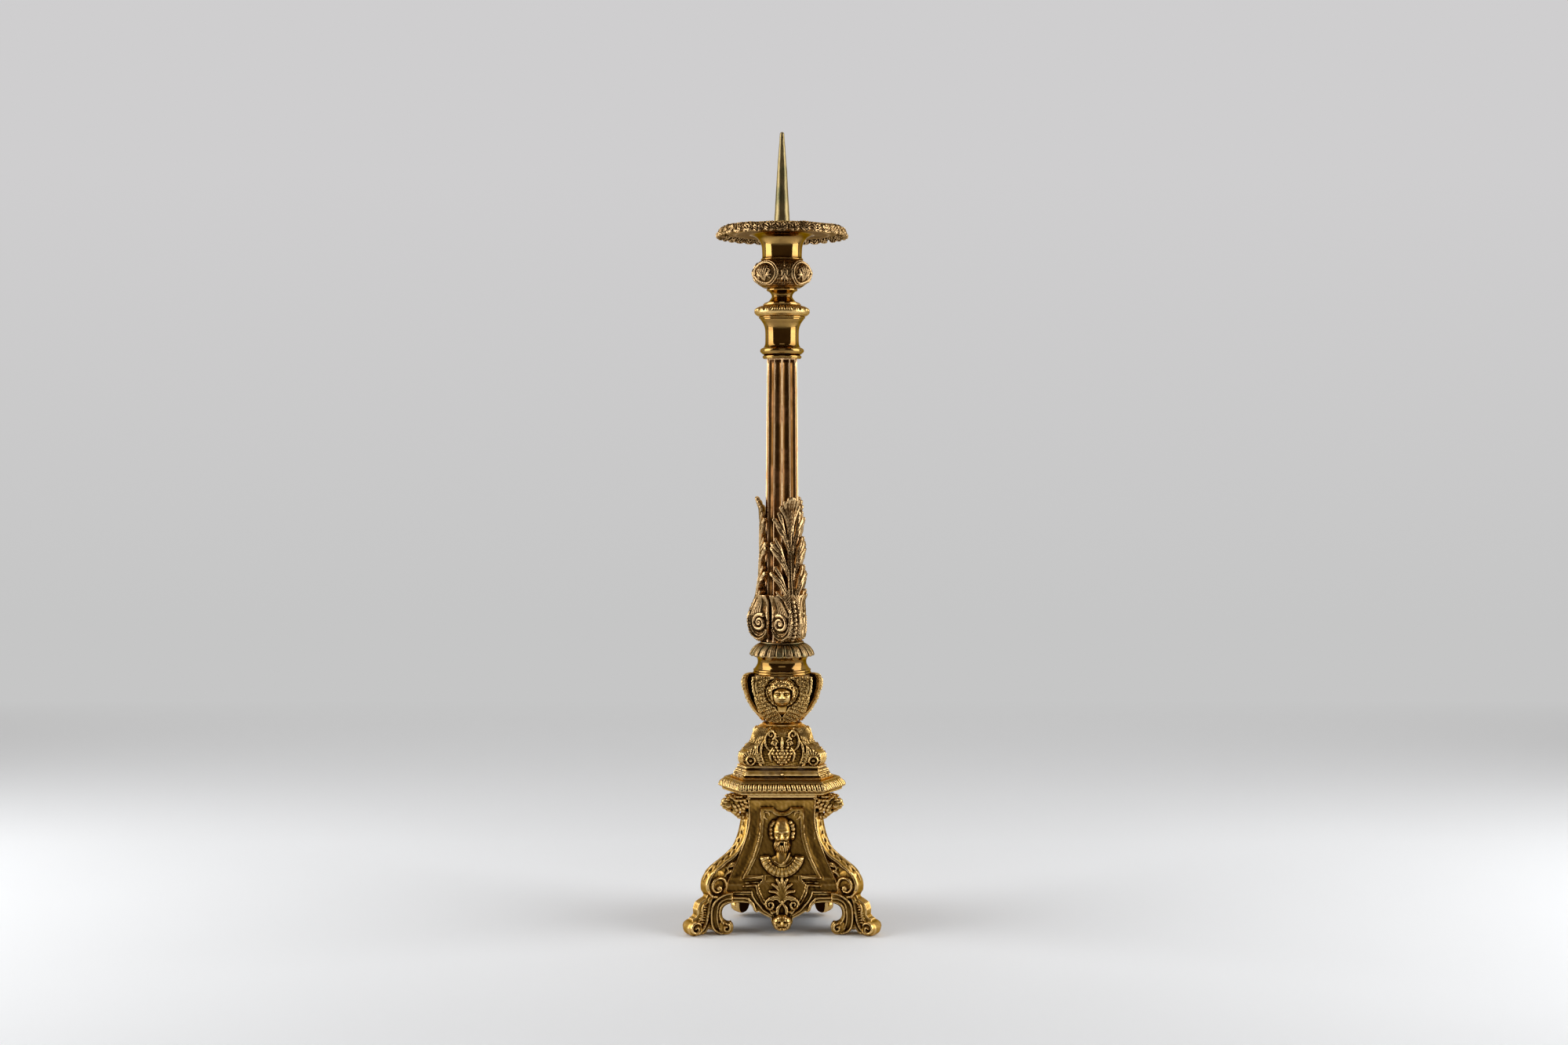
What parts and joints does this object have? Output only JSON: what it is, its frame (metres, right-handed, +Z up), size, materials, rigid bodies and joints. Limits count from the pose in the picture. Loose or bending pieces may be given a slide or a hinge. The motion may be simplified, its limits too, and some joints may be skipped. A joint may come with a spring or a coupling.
{
  "type": "pricket candlestick",
  "caption": "Tall altar candlestick with a fluted shaft, a drip pan with a candle spike, and a three-sided scroll-footed base.",
  "frame": {"origin": "centre of the overall box on the floor; the stack's axis stands 21.05 mm from it towards -Y", "axes": "+Z up along the stack, -Y out of the front face of the three-sided base"},
  "size_m": [0.2008, 0.1796, 0.81],
  "materials": {
    "gilt_brass": "gilt over cast brass, satin, dark in the hollows",
    "polished_brass": "turned and polished, lacquered",
    "worn_brass": "gilding worn coppery on the high lines",
    "patina_brass": "dark brown patina",
    "verdigris_brass": "dull, with green verdigris towards the tip",
    "wrought_iron": "dark, slightly rusty"
  },
  "bodies": {
    "root": {"pricket_spike": "verdigris_brass", "drip_pan": "gilt_brass", "candle_neck": "polished_brass", "knop": "gilt_brass", "neck_spool": "polished_brass", "gadroon_ring": "gilt_brass", "capital": "polished_brass", "fluted_shaft": "worn_brass", "acanthus_leaf_1": "worn_brass", "acanthus_leaf_2": "worn_brass", "acanthus_leaf_3": "worn_brass", "leaf_pin_1": "wrought_iron", "leaf_pin_2": "wrought_iron", "leaf_pin_3": "wrought_iron", "petal_disc": "patina_brass", "vase_neck": "polished_brass", "vase_body": "gilt_brass", "dome": "gilt_brass", "stepped_plinth": "gilt_brass", "cornice_slab": "gilt_brass", "cherub_panel_1": "gilt_brass", "cherub_panel_2": "gilt_brass", "cherub_panel_3": "gilt_brass", "side_panel_1": "gilt_brass", "side_panel_2": "gilt_brass", "side_panel_3": "gilt_brass", "corner_leg_1": "gilt_brass", "corner_leg_2": "gilt_brass", "corner_leg_3": "gilt_brass", "corner_head_1": "gilt_brass", "corner_head_2": "gilt_brass", "corner_head_3": "gilt_brass", "tie_rod": "wrought_iron", "base_strap": "wrought_iron", "strap_washer": "wrought_iron", "tie_nut": "wrought_iron"}
  },
  "joints": []
}
